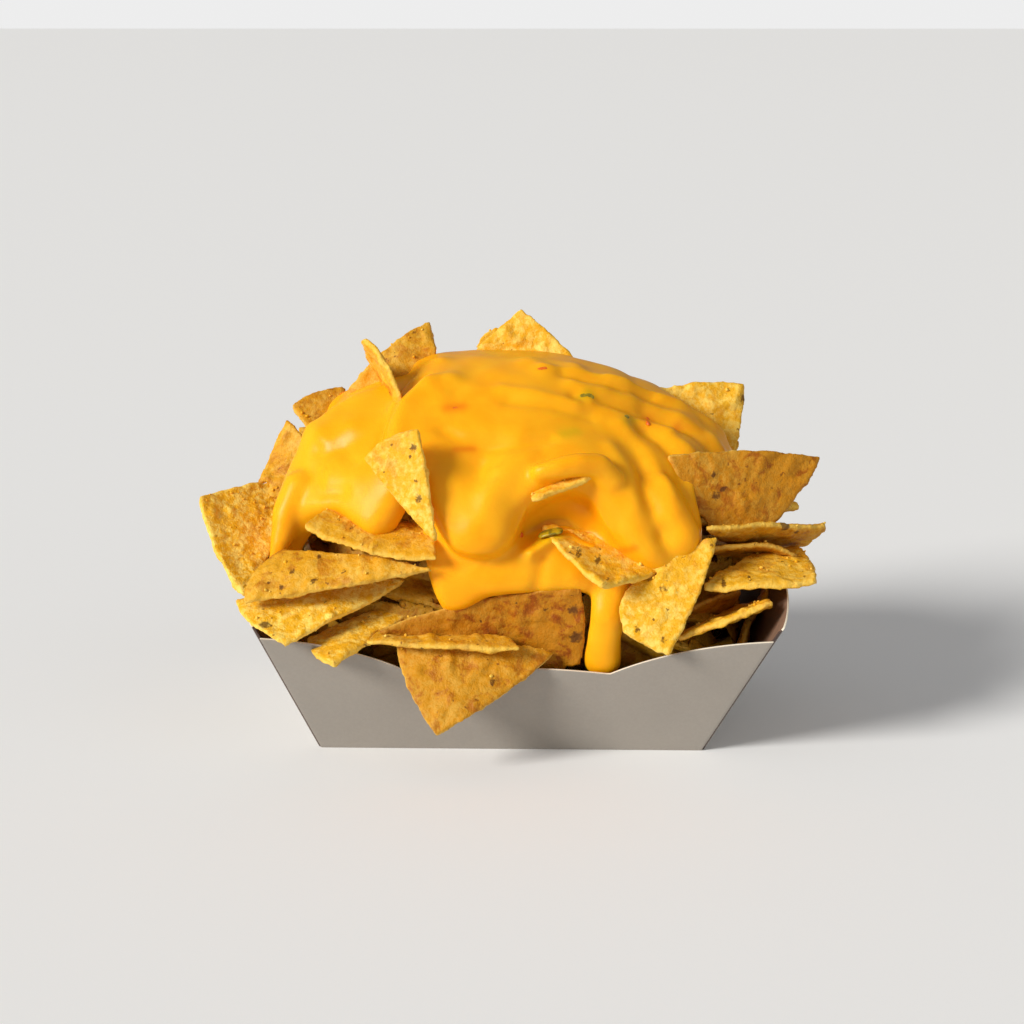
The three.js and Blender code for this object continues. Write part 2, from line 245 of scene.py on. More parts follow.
# %% Effect: dark flecks
# Bits of the corn's hull, toasted dark. Each cell of a Voronoi pattern may hold one.
nodes, given, result = effect("dark_flecks", {"Vector": None, "Scale": 1.0, "Amount": 0.5},
                              ["Fleck"])
wobble = nodes.add("ShaderNodeTexNoise", None, Vector=given["Vector"], Scale=700.0, Detail=2.0)
shifted = nodes.add("ShaderNodeVectorMath", {"operation": "MULTIPLY_ADD"})
nodes.put(shifted.inputs[0], wobble.outputs["Color"])
nodes.put(shifted.inputs[1], (0.003, 0.003, 0.003))
nodes.put(shifted.inputs[2], given["Vector"])
cells = nodes.add("ShaderNodeTexVoronoi", None, Vector=shifted.outputs[0],
                  Scale=nodes.math("MULTIPLY", given["Scale"], 105.0))
lot = nodes.add("ShaderNodeSeparateColor", None, Color=cells.outputs["Color"]).outputs
chosen = nodes.math("LESS_THAN", lot[0], given["Amount"])
size = nodes.math("ADD", nodes.math("MULTIPLY", lot[1], 0.18), 0.08)
solid_part = nodes.math("MULTIPLY", size, 0.55)
spot = nodes.math("SUBTRACT", 1.0, nodes.band(cells.outputs["Distance"], solid_part, size))
nodes.put(result["Fleck"], nodes.math("MULTIPLY", spot, chosen))

# %% Effect: grainy relief
nodes, given, result = effect("grainy_relief", {"Vector": None, "Scale": 1.0}, ["Height"])
coarse = nodes.noise(given["Vector"], nodes.math("MULTIPLY", given["Scale"], 420.0), 4, 0.6)
fine = nodes.noise(given["Vector"], nodes.math("MULTIPLY", given["Scale"], 1900.0), 2, 0.6)
nodes.put(result["Height"], nodes.math("ADD", coarse, nodes.math("MULTIPLY", fine, 0.35)))
print("effects:", [group.name for group in bpy.data.node_groups])


# %% [markdown]
# ## Making pieces
#
# Every piece is modelled in a bmesh, in millimetres or from a copy of its solid, and
# ends as an object at the origin with its place in its mesh. Lumpy food is easiest to
# shape as several overlapping closed bodies that a voxel remesh then fuses into one
# skin, as a sculptor would.

# %% Helpers for shaping
def points_of(bm):
    return np.array([vert.co for vert in bm.verts])


def move_points(bm, points):
    for vert, point in zip(bm.verts, points):
        vert.co = point


def solid_copy(node):
    """A copy of a CAD solid's mesh, with its loose triangles joined up."""
    bm = bmesh.new()
    bm.from_mesh(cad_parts[node].data)
    bmesh.ops.remove_doubles(bm, verts=bm.verts, dist=0.001 * MM)
    return bm


def fused(bm, voxel):
    """One closed skin round everything in the bmesh, with faces of about the voxel size."""
    mesh = bpy.data.meshes.new("unfused")
    bm.to_mesh(mesh)
    bm.free()
    body = bpy.data.objects.new("unfused", mesh)
    bpy.context.scene.collection.objects.link(body)
    skin = body.modifiers.new("skin", "REMESH")
    skin.mode = "VOXEL"
    skin.voxel_size = voxel
    result = bmesh.new()
    result.from_object(body, bpy.context.evaluated_depsgraph_get())
    bpy.data.objects.remove(body)
    bpy.data.meshes.remove(mesh)
    return result


def take_in(bm, other):
    """Adds everything in another bmesh to this one, and frees the other."""
    mesh = bpy.data.meshes.new("taken_in")
    other.to_mesh(mesh)
    other.free()
    bm.from_mesh(mesh)
    bpy.data.meshes.remove(mesh)


def smooth(bm, times, factor=0.5):
    for _ in range(times):
        bmesh.ops.smooth_vert(bm, verts=bm.verts, factor=factor,
                              use_axis_x=True, use_axis_y=True, use_axis_z=True)


def finished_piece(name, bm, materials, stands_for=()):
    """The piece as an object that rides on the heap's only body."""
    mesh = bpy.data.meshes.new(name)
    bm.to_mesh(mesh)
    bm.free()
    for material in materials:
        mesh.materials.append(material)
    mesh.shade_smooth()
    piece = bpy.data.objects.new(name, mesh)
    bpy.context.scene.collection.objects.link(piece)
    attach(piece, "root")
    if stands_for:
        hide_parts(*stands_for)
    return piece


# %% [markdown]
# ## The card tray
#
# The real tray is cut from one sheet of card, grey outside and brown inside, with a
# pale cut edge. The front wall, the base and the back wall are one strip. Each side
# wall has a flap at both ends that turns the corner and is glued behind the strip. So
# the tray is three sheets here: each starts as a flat grid whose points are moved to
# their place on the folded card, and the card's thickness comes from a Solidify
# modifier, which can give the inside and the cut edge materials of their own.

# %% Card materials
def card_material(name, colour, fibre, roughness, bump):
    material, nodes, shader, place = new_material(name)
    fibres = nodes.noise(place, 900.0, 4, 0.7, 0.4)
    clouding = nodes.noise(place, 60.0, 3, 0.6)
    dark = tuple(channel * (1 - fibre) for channel in colour[:3]) + (1,)
    shade = nodes.math("ADD", nodes.math("MULTIPLY", nodes.band(fibres, 0.3, 0.7), 0.6),
                       nodes.math("MULTIPLY", nodes.band(clouding, 0.3, 0.7), 0.4))
    board = nodes.mix(shade, dark, colour)
    # the flaps get a dark brown band beside the strip's cut edge: the card's brown core, and painted shadow
    # of the gap there
    board = nodes.mix(nodes.band(nodes.attribute("crease_shadow"), 0.3, 0.7), board, linear(72, 52, 44))
    nodes.put(shader.inputs["Base Color"], board)
    nodes.put(shader.inputs["Roughness"], nodes.math("ADD", roughness, nodes.math("MULTIPLY", shade, 0.1)))
    relief = nodes.add("ShaderNodeBump", None, Height=fibres, Strength=bump, Distance=0.0001)
    nodes.put(shader.inputs["Normal"], relief.outputs["Normal"])
    return material


card_outside = card_material("card_outside", linear(158, 150, 140), 0.1, 0.5, 0.25)
card_inside = card_material("card_inside", linear(128, 96, 74), 0.22, 0.8, 0.5)
card_edge = card_material("card_edge", linear(238, 226, 204), 0.12, 0.8, 0.4)

# %% The tray's sizes and its rim
BASE_LENGTH = 124
BASE_WIDTH = 76
CORNER_HEIGHT = 42
LEAN_OUT = {"left": 16, "right": 20, "front": 20, "back": 20}  # by the corners' height
NOTCH_X = 31
NOTCH_HEIGHT = 29.5
MIDDLE_HEIGHT = 31.5
SIDE_HUMP = 12
CARD = 0.6
CUT_BACK = 1.1  # the strip's cut edge stops this far short of the corner
SHOULDER_AT = 0.42  # the shoulder curve's middle control point, from the notch to the corner
SHOULDER_DROP = 1.5
HUMP_ROUNDNESS = 2.56
BELLY = 0.5  # how far the middle of the front and the back wall bulges
FLAP_INSET = 1.3 * CARD
FLAP_DROP = 3  # how far a flap's top stays below the rim
FOLD_RADIUS = 1.4
FLAP = 15


def reach(half, lean, height):
    """How far a wall is from the middle at a height."""
    return half + LEAN_OUT[lean] * height / CORNER_HEIGHT


def long_rim(x):
    """The height of the front and the back rim: a low hump, two notches, two shoulders."""
    if abs(x) <= NOTCH_X:
        return NOTCH_HEIGHT + (MIDDLE_HEIGHT - NOTCH_HEIGHT) * (1 - (x / NOTCH_X) ** 2)
    end = reach(BASE_LENGTH / 2, "right" if x > 0 else "left", CORNER_HEIGHT)
    part = min(1, (abs(x) - NOTCH_X) / (end - NOTCH_X))
    first, second = 2 * SHOULDER_AT, 1 - 2 * SHOULDER_AT
    along = (math.sqrt(first**2 + 4 * second * part) - first) / (2 * second)
    shoulder = CORNER_HEIGHT - SHOULDER_DROP
    return ((1 - along) ** 2 * NOTCH_HEIGHT + 2 * along * (1 - along) * shoulder
            + along**2 * CORNER_HEIGHT)


def side_rim(y):
    """The side walls rise above the corners in a round hump."""
    part = min(1, abs(y) / reach(BASE_WIDTH / 2, "front", CORNER_HEIGHT))
    return CORNER_HEIGHT + SIDE_HUMP * max(0, 1 - part**HUMP_ROUNDNESS) ** (1 / HUMP_ROUNDNESS)


# %% Folding the sheets
def strip_point(across, along):
    """Front wall, base and back wall: across runs along X, along from rim to rim."""
    foot_x = (across - 0.5) * (BASE_LENGTH - 2 * CUT_BACK)
    if 0.4 <= along <= 0.6:
        return (foot_x, (along - 0.5) / 0.1 * BASE_WIDTH / 2, 0)
    lean, sign = ("front", -1) if along < 0.4 else ("back", 1)
    up = abs(along - 0.5) / 0.4 - 0.25
    up /= 0.99999 if up < 1 else 1
    left = reach(BASE_LENGTH / 2, "left", CORNER_HEIGHT) - CUT_BACK
    right = reach(BASE_LENGTH / 2, "right", CORNER_HEIGHT) - CUT_BACK
    rim_x = -left + across * (left + right)
    height = long_rim(rim_x) * up
    # the foot and the rim are joined by a straight line, so that the ends stay straight
    x = foot_x + (rim_x - foot_x) * height / max(long_rim(rim_x), 1e-6)
    belly = BELLY * math.sin(math.pi * up) * math.sin(math.pi * across)
    return (x, sign * (reach(BASE_WIDTH / 2, lean, height) + belly), height)


def side_point(sign, lean, along, up):
    """A side wall with its two flaps: along runs from flap end to flap end."""
    def outline(height):
        half_x = reach(BASE_LENGTH / 2, lean, height)
        half_y = reach(BASE_WIDTH / 2, "front", height) - FLAP_INSET
        from_middle = abs(along - 0.5) / 0.5
        if from_middle < 0.4:
            return half_x, from_middle / 0.4 * (half_y - FOLD_RADIUS)
        if from_middle < 0.6:
            turn = (from_middle - 0.4) / 0.2 * math.pi / 2
            return (half_x - FOLD_RADIUS * (1 - math.cos(turn)),
                    half_y - FOLD_RADIUS * (1 - math.sin(turn)))
        return half_x - FOLD_RADIUS - (from_middle - 0.6) / 0.4 * FLAP, half_y

    top_x, top_y = outline(CORNER_HEIGHT)
    on_flap = abs(along - 0.5) / 0.5 - 0.6
    top = side_rim(top_y) if on_flap < 0 else CORNER_HEIGHT
    if on_flap > 0:
        dip = min(1, on_flap / 0.12)
        top -= dip * (CORNER_HEIGHT - long_rim(sign * top_x) + FLAP_DROP)
    height = up * top
    x, y = outline(height)
    return (sign * x, y if along > 0.5 else -y, height)


def flap_crease_shadow(along):
    """Marks the dark brown line where a flap turns in behind the strip's cut edge: the card's brown core,
    and painted shadow of the narrow gap there.
    """
    return 1.0 if 0.49 < abs(along - 0.5) / 0.5 < 0.63 else 0.0


def folded_sheet(steps_across, steps_along, place, crease_shadow=lambda across: 0.0):
    """A flat grid folded to shape: place(0..1, 0..1) gives a point in millimetres."""
    bm = bmesh.new()
    bmesh.ops.create_grid(bm, x_segments=steps_across, y_segments=steps_along, size=0.5)
    crease_shadow_layer = bm.verts.layers.float.new("crease_shadow")
    for vert in bm.verts:
        across, along = vert.co.x + 0.5, vert.co.y + 0.5
        vert[crease_shadow_layer] = crease_shadow(across)
        vert.co = Vector(place(across, along)) * MM
    return bm


# %% Assemble the tray
tray = bmesh.new()
sheets = [
    folded_sheet(124, 100, strip_point),
    folded_sheet(160, 30, lambda along, up: side_point(1, "right", along, up), flap_crease_shadow),
    folded_sheet(160, 30, lambda along, up: side_point(-1, "left", along, up), flap_crease_shadow),
]
tray_middle = Vector((0, 0, 30 * MM))
for sheet in sheets:
    sheet.normal_update()
    facing_out = sum((face.calc_center_median() - tray_middle).dot(face.normal) for face in sheet.faces)
    if facing_out < 0:
        bmesh.ops.reverse_faces(sheet, faces=sheet.faces)
    take_in(tray, sheet)

card_tray = finished_piece("card_tray", tray, [card_outside, card_inside, card_edge],
                           ["tray"])
thickness = card_tray.modifiers.new("thickness", "SOLIDIFY")
thickness.thickness = CARD * MM
thickness.offset = -1
thickness.use_even_offset = True
thickness.material_offset = 1
thickness.material_offset_rim = 2
soft_edges = card_tray.modifiers.new("soft_edges", "BEVEL")
soft_edges.width = 0.12 * MM
soft_edges.segments = 2
soft_edges.limit_method = "ANGLE"
soft_edges.angle_limit = math.radians(40)

# %% [markdown]
# ## Corn chips
#
# A corn chip is rolled thin, cut to a triangle, toasted and fried. It warps, steam
# raises blisters on it, and its edge is ragged. Each chip starts as a copy of its own
# solid. A voxel remesh gives it even, fine faces, and noise then moves every point:
# long waves bend the whole plate, blisters push out from its faces, and short waves
# nibble the edge. The noise is shifted for each chip, so no two are alike.

# %% Chip material
def chip_material(name, tint=1.0):
    material, nodes, shader, place = new_material(name)
    mottle = use_effect(nodes, "corn_mottle", Vector=place, Scale=1.0)
    flecks = use_effect(nodes, "dark_flecks", Vector=place, Scale=1.0, Amount=0.3)
    specks = use_effect(nodes, "dark_flecks", Vector=place, Scale=3.3, Amount=0.25)
    tone = nodes.attribute("tone")
    edge = nodes.attribute("edge")
    gold = linear(236 * tint, 171 * tint, 10 * tint)
    cream = linear(252 * tint, 214 * tint, 102 * tint)
    toasted = linear(204 * tint, 124 * tint, 4 * tint)
    brown = linear(112 * tint, 56 * tint, 10 * tint)
    browning_and_shade = (0.44, 0.26, 0.03, 1)
    colour = nodes.mix(nodes.math("MULTIPLY", mottle["Pale"], tone), gold, cream)
    toast = nodes.math("MULTIPLY", mottle["Toast"], nodes.math("SUBTRACT", 1.2, tone))
    colour = nodes.mix(toast, colour, toasted)
    colour = nodes.mix(nodes.math("MULTIPLY", mottle["Speckle"], 0.18), colour, cream)
    patchy = nodes.math("ADD", 0.8, nodes.math("MULTIPLY", mottle["Toast"], 0.2))
    fried_and_shaded = nodes.math("MULTIPLY", nodes.attribute("fried_and_shaded"), patchy)
    # the browning multiplies the colour down: deeper frying, and painted shade on chips in shadow or facing
    # away from the light
    colour = nodes.mix(fried_and_shaded, colour, browning_and_shade, "MULTIPLY")
    # the edge is mixed towards cream all round: a painted highlight, as if every edge caught the light
    colour = nodes.mix(nodes.math("MULTIPLY", edge, 0.5), colour, cream)
    colour = nodes.mix(nodes.math("MULTIPLY", specks["Fleck"], 0.7), colour, brown)
    ragged = nodes.math("MULTIPLY", nodes.noise(place, 800.0, 3, 0.6, 0.5), 0.9)
    ragged = nodes.math("ADD", nodes.attribute("spot"), ragged)
    dark = nodes.math("MAXIMUM", flecks["Fleck"], nodes.band(ragged, 1.08, 1.3))
    colour = nodes.mix(nodes.math("MULTIPLY", dark, 0.8), colour, linear(74, 38, 16))
    nodes.put(shader.inputs["Base Color"], colour)
    shader.inputs["Specular IOR Level"].default_value = 0.2
    nodes.put(shader.inputs["Roughness"], nodes.math("SUBTRACT", 0.56, nodes.math("MULTIPLY", toast, 0.14)))
    height = use_effect(nodes, "grainy_relief", Vector=place, Scale=1.0)["Height"]
    relief = nodes.add("ShaderNodeBump", None, Height=height, Strength=1.0, Distance=0.0006)
    nodes.put(shader.inputs["Normal"], relief.outputs["Normal"])
    return material


corn_chip = chip_material("corn_chip")
# the packed chips get a copy with every colour darkened to 0.86: painted shade deep in the heap
shaded_chip = chip_material("packed_chip", 0.86)


# %% Shaping one chip
def plate_normal(points):
    """The direction that a thin plate faces: the one its points spread in least."""
    spread = points - points.mean(axis=0)
    return Vector(np.linalg.svd(spread, full_matrices=False)[2][2])


def toast_chip(bm, shift, tone, fried_and_shaded, spots=()):
    """Warps, blisters and nibbles a chip, and marks its edge, which the material paints with a pale
    highlight, and its spots.
    """
    facing = plate_normal(points_of(bm))
    bm.normal_update()
    edge_highlight_layer = bm.verts.layers.float.new("edge")
    tone_layer = bm.verts.layers.float.new("tone")
    fried_and_shaded_layer = bm.verts.layers.float.new("fried_and_shaded")
    spot_layer = bm.verts.layers.float.new("spot")
    for vert in bm.verts:
        for x, z, size in spots:
            away = math.hypot(vert.co.x / MM - x, vert.co.z / MM - z) / size
            vert[spot_layer] = max(vert[spot_layer], 1 - 0.4 * away)
        vert[fried_and_shaded_layer] = fried_and_shaded
        spot = vert.co / MM + shift
        edge = 1 - min(1, abs(vert.normal.dot(facing)) * 1.3)
        bend = 1.3 * noise.noise(spot * 0.055) + 0.5 * noise.noise(spot * 0.14 + shift)
        side = 11.0 if vert.normal.dot(facing) > 0 else -23.0
        blister = max(0, noise.noise(spot * 0.21 + Vector((side, 0, 0))) - 0.1) * 1.5
        pits = 0.17 * noise.noise(spot * 0.6) + 0.07 * noise.noise(spot * 1.4)
        nibble = 0.6 * noise.noise(spot * 0.33) + 0.3 * noise.noise(spot * 0.8)
        push = (blister * (1 - edge) + pits + nibble * edge) * MM
        vert[edge_highlight_layer] = edge
        vert[tone_layer] = tone + 0.5 * noise.noise(spot * 0.03)
        vert.co += facing * bend * MM + vert.normal * push


# %% Every chip in the heap
CHIP_VOXEL = 0.6 * MM
REAR_CHIP_VOXEL = 0.75 * MM
CHIP_SMOOTHING = 4
# what is added to a chip's tone, so that it comes out paler: partly its own paler corn, partly painted light
# on chips that catch more light
PALER_AND_LIT = {"chip_top": 0.2, "chip_back_right": 0.2, "chip_spotted": 0.14, "chip_right_hanging": 0.12,
        "chip_left_low": 0.6, "chip_left_lowest": 0.45, "chip_left_big": 0.5, "chip_hollow_lower": 0.2}
# browning from 0 to 1, for frying and as painted shade on chips in shadow: the rest have 0.1, at the rear
# random
FRIED_AND_SHADED = {"chip_front_upright": 1.0, "chip_right_upper": 0.9, "chip_right_edge": 0.6,
         "chip_left_middle": 0.42, "chip_front_hanging": 0.72, "chip_front_rim": 0.42,
         "chip_left_tilted": 0.45, "chip_left_rear": 0.5, "chip_left_outer": 0.4,
         "chip_left_curled": 0.3, "chip_right_dark": 0.8, "chip_right_inner": 0.7,
         "chip_right_wall": 0.7, "chip_right_light": 0.2, "chip_left_big": 0.0, "chip_left_low": 0.0}
# dark spots of hull, larger than the small flecks: x, z and size in millimetres
SPOTS = {
    "chip_spotted": [(-29, 102, 1.4), (-28, 92, 0.9), (-27, 87, 1.6), (-38, 94, 0.5), (-30, 99, 0.7)],
    "chip_right_upper": [(63, 89, 1.3), (64, 82.5, 1.5), (66.5, 84.5, 1.5), (82, 84, 0.6)],
    "chip_front_hanging": [(-5, 29, 1.4), (-17, 24, 0.5), (-22, 21, 0.5)],
    "chip_left_middle": [(-67, 62, 1.2), (-60, 60, 1.2), (-70, 58, 1.1), (-59, 66, 0.8), (-51, 63, 0.8),
                         (-74, 59, 0.6)],
    "chip_hollow_lower": [(21, 69, 1.2), (27, 67, 1.1), (30, 63, 0.6)],
    "chip_front_rim": [(-27, 40, 1.1), (-36, 41, 0.5)],
    "chip_right_hanging": [(39, 46, 1.1), (48, 60, 0.6), (44, 49, 0.5)],
    "chip_front_upright": [(22, 42, 1.1), (11, 50, 0.9), (-9, 46, 0.6), (2, 52, 0.6)],
    "chip_right_light": [(66, 58, 1.0), (74, 59, 0.6)],
    "chip_right_edge": [(90, 70, 1.1)],
    "chip_left_low": [(-73, 47, 0.6), (-57, 52, 0.6)],
}
# this chip leans back a little more than its solid, with its raised end hidden in the sauce
LEANING = {"chip_hollow_upper": ((16, -54, 88), 16)}
dice = random.Random(41)
crumb_beds = []  # places on top of chips where crumbs can lie
chip_names = sorted(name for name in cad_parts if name.startswith("chip_") and name != "chip_heap")
triangles = 0
for name in chip_names:
    shift = Vector([dice.uniform(-500, 500) for _ in range(3)])
    tone = dice.uniform(0.35, 0.7) + PALER_AND_LIT.get(name, 0)
    rear = name.startswith("chip_rear")
    plate = solid_copy(name)
    if name in LEANING:
        pivot, angle = LEANING[name]
        bmesh.ops.rotate(plate, verts=plate.verts, cent=Vector(pivot) * MM,
                         matrix=Matrix.Rotation(math.radians(angle), 3, "X"))
    skin = fused(plate, REAR_CHIP_VOXEL if rear else CHIP_VOXEL)
    smooth(skin, CHIP_SMOOTHING)
    fried_and_shaded = FRIED_AND_SHADED.get(name, dice.uniform(0, 0.5) if rear else 0.1)
    toast_chip(skin, shift, tone, fried_and_shaded, SPOTS.get(name, ()))
    smooth(skin, 1, 0.2)
    skin.normal_update()
    crumb_beds += [(vert.co.copy(), vert.normal.copy()) for vert in skin.verts if vert.normal.z > 0.5]
    triangles += 2 * len(skin.faces)
    finished_piece(name.replace("chip_", "corn_chip_"), skin, [corn_chip], [name])
print("chips:", len(chip_names), "triangles:", triangles)

# %% [markdown]
# ## The mound under the sauce
#
# The sauce was poured on a rounded heap. A formula gives that heap's surface, the same
# one that the solid sauce follows: a superellipsoid, which is an ellipsoid that can be
# boxier low down, where the tray holds the chips. A place on it is a turn about the
# vertical and a rise above its middle, both in degrees, so that a lobe of sauce can be
# described as on a globe.

# %% Places on the mound
MOUND_MIDDLE = np.array([1, 0, 50])
MOUND_HALF = np.array([84, 58, 71])
FULLNESS_LEFT, FULLNESS_RIGHT, FULLNESS_BELOW = 2.25, 1.9, 4.5


def smoothstep(values, low, high):
    part = np.clip((values - low) / (high - low), 0, 1)
    return part * part * (3 - 2 * part)


def mound_points(turn, rise, out):
    """Points on the mound in millimetres, pushed out along their own directions."""
    turn, rise = np.radians(turn), np.radians(rise)
    direction = np.stack([np.cos(rise) * np.cos(turn), np.cos(rise) * np.sin(turn), np.sin(rise)], -1)
    to_right = smoothstep(direction[..., 0], -0.3, 0.5)
    above = FULLNESS_LEFT + (FULLNESS_RIGHT - FULLNESS_LEFT) * to_right
    below = smoothstep(-direction[..., 2], 0, 0.35)
    fullness = (above + (FULLNESS_BELOW - above) * below)[..., None]
    scale = (np.abs(direction) ** fullness).sum(-1, keepdims=True) ** (-1 / fullness)
    return MOUND_MIDDLE + direction * (MOUND_HALF * scale + np.asarray(out)[..., None])


def mound_place(points):
    """The turn and the rise of points in millimetres, and the way out of the mound there."""
    direction = (points - MOUND_MIDDLE) / MOUND_HALF
    direction /= np.linalg.norm(direction, axis=1, keepdims=True)
    turn = np.degrees(np.arctan2(direction[:, 1], direction[:, 0]))
    rise = np.degrees(np.arcsin(np.clip(direction[:, 2], -1, 1)))
    return turn, rise, direction


# %% [markdown]
# ## Cheese sauce
#
# Warm cheese sauce is thick: it runs down slowly in fat lobes with round ends, one
# pour lies over another, and a thin thread runs on down to the rim. Each pour is a
# sphere whose points are moved onto the mound, from the top down to an outline of its
# own. It is thickest just behind its edge and rounds off to nothing there. Strings of
# small spheres make the drips. All of it overlaps, and a voxel remesh with a lot of
# smoothing fuses it, which leaves the soft hollows of a real liquid where pours meet.

# %% The outlines of the pours
# Each outline is the lowest rise that the sauce reaches at some turns, in degrees.
LEFT_FALL = [
    (-180, 46), (-170, 47), (-164, 42), (-160, 27), (-157, 13), (-153, 7), (-149, 7), (-145, 13), (-139, 20),
    (-132, 22), (-126, 19), (-121, 16.5), (-117.5, 19), (-115, 29), (-110, 34), (-90, 44),
    (-45, 40), (-25, 34), (-8, 30), (8, 31), (20, 35), (30, 28), (39, 21), (46, 26), (52, 36),
    (64, 34), (72, 18), (80, 8), (88, 5), (96, 9), (103, 24), (110, 32),
    (118, 24), (125, 15), (132, 14), (139, 22), (146, 36), (153, 30), (161, 26), (168, 32), (174, 43),
]
MAIN_POUR = [
    (-180, 66), (-160, 66), (-150, 64), (-140, 57), (-135, 50), (-131, 44), (-127, 38), (-122, 35),
    (-112, 31), (-107, 21), (-103, 15), (-98, 13.5), (-93, 14.5), (-89.5, 19), (-87.5, 26), (-83, 29),
    (-76, 31), (-70.5, 29), (-67.5, 20), (-63.5, 13), (-60, 9.5), (-54, 7), (-48, 8), (-43.5, 13),
    (-41, 22), (-39, 29), (-33, 32), (-20, 31), (-8, 32), (5, 36), (20, 48), (35, 38),
    (45, 24), (54, 17), (62, 22), (70, 44), (90, 50), (120, 54), (150, 62),
]
TOP_POUR = [
    (-180, 72), (-150, 68), (-130, 60), (-118, 52), (-110, 48.5), (-104, 45.5), (-97, 44.5), (-89, 45),
    (-80, 47), (-70, 50), (-58, 55), (-40, 60), (-10, 62), (40, 62), (90, 64), (140, 68),
]
LOWER_SHEET = [
    (-180, 70), (-125, 60), (-114, 34), (-109.5, 7), (-106, -2), (-101, -1), (-96, 3), (-90, 4),
    (-82, 4.5), (-76, 4.5), (-70, 3), (-65, 5), (-60, 9), (-54, 13), (-47, 34), (-35, 60), (0, 70), (90, 70),
]


# %% Shaping a pour
POUR_EDGE = 4.4  # the edge rounds off over this width, in millimetres


def outline_rises(outline, turns):
    """The outline's rise at any turns, smoothed a little between its points."""
    at, rise = np.array(sorted(outline)).T
    fine = np.arange(-180, 180, 0.5)
    values = np.interp(fine, at, rise, period=360)
    weights = np.exp(-((np.arange(-6, 7) / 2.2) ** 2))
    values = sum(w * np.roll(values, k - 6) for k, w in enumerate(weights)) / weights.sum()
    return np.interp(turns, fine, values, period=360)


def add_pour(bm, outline, lift, thick, fat):
    """Adds a pour: how far it lies off the mound, how thick it is and how fat its edge is."""
    made = bmesh.ops.create_icosphere(bm, subdivisions=7, radius=1)["verts"]
    sphere = np.array([vert.co for vert in made])
    turn = np.degrees(np.arctan2(sphere[:, 1], sphere[:, 0]))
    from_top = np.degrees(np.arccos(np.clip(sphere[:, 2], -1, 1)))
    upper = from_top <= 90
    down = np.where(upper, from_top, 180 - from_top) / 90
    rise = 90 - down * (90 - outline_rises(outline, turn))
    edge_turns = np.arange(-180, 180, 0.4)
    edge = mound_points(edge_turns, outline_rises(outline, edge_turns), 0 * edge_turns)
    tree = kdtree.KDTree(len(edge))
    for index, point in enumerate(edge):
        tree.insert(point, index)
    tree.balance()
    flat = mound_points(turn, rise, 0 * turn)
    inwards = np.array([tree.find(point)[2] for point in flat])
    near = np.clip(inwards / POUR_EDGE, 0, 1)
    rounding = np.sqrt(1 - (1 - near) ** 2)
    hanging = 1 - 0.6 * smoothstep(outline_rises(outline, turn), 26, 44)
    body = (thick + fat * hanging * (1 - smoothstep(inwards, 8, 26))) * rounding
    out = np.where(upper, lift + body, lift - 0.45 * body)
    for vert, point in zip(made, mound_points(turn, rise, out)):
        vert.co = point


def add_drip(bm, path, thin=1.0):
    """Adds a run of overlapping spheres along (x, y, z, radius) stations."""
    stations = np.array(path, float)
    steps = np.linspace(0, len(stations) - 1, 14 * (len(stations) - 1))
    for step in steps:
        x, y, z, radius = (np.interp(step, range(len(stations)), stations[:, k]) for k in range(4))
        place = Matrix.Translation((x, y, z)) @ Matrix.Diagonal((1, thin, 1, 1))
        bmesh.ops.create_icosphere(bm, subdivisions=2, radius=radius, matrix=place)


# %% Pour the sauce
SAUCE_VOXEL = 0.9 * MM
SAUCE_SMOOTHING = 6
# outline, height off the mound, thickness and extra fatness near the edge, in millimetres
POURS = [
    (LEFT_FALL, -3.6, 3.0, 3.4),
    (MAIN_POUR, -2.4, 3.2, 3.8),
    (TOP_POUR, -1.6, 2.9, 0.8),
    (LOWER_SHEET, -8.5, 3.5, 1.5),
]
# Each run of sauce that isn't a pour is a path of x, y, z and radius in millimetres.
# The thread runs down to the rim and swells at its end.
THREAD = [
    (32, -42, 62, 6.5), (31.8, -47, 56, 7), (30.5, -50, 48, 6), (29.3, -48.5, 40, 5.6),
    (28.8, -46.5, 33, 6.4),
]
# The left fall ends in a thin tail.
LEFT_TAIL = [
    (-67, -30, 84, 5.5), (-70.5, -33.5, 75, 4.8), (-72.8, -36.5, 67, 3.6), (-74.3, -38, 62.5, 2.4),
]
# The lip over the hollow lies on the chip there.
LIP = [
    (9, -53.5, 94, 2.8), (15, -53, 95.3, 3.6), (21, -51.5, 96, 4), (27, -49, 95, 4.2),
    (30.5, -47, 90, 4.4),
]
# The right lobe is fat at its end.
LOBE_END = [(45, -40, 84, 7), (49, -43, 77, 7.5), (52, -44, 71, 7.5)]
sauce = bmesh.new()
for outline, lift, thick, fat in POURS:
    add_pour(sauce, outline, lift, thick, fat)
add_drip(sauce, THREAD, 0.7)
add_drip(sauce, LEFT_TAIL)
add_drip(sauce, LIP, 0.9)
add_drip(sauce, LOBE_END, 0.8)
for vert in sauce.verts:
    vert.co *= MM
sauce = fused(sauce, SAUCE_VOXEL)
smooth(sauce, SAUCE_SMOOTHING)
print("sauce faces:", len(sauce.faces))


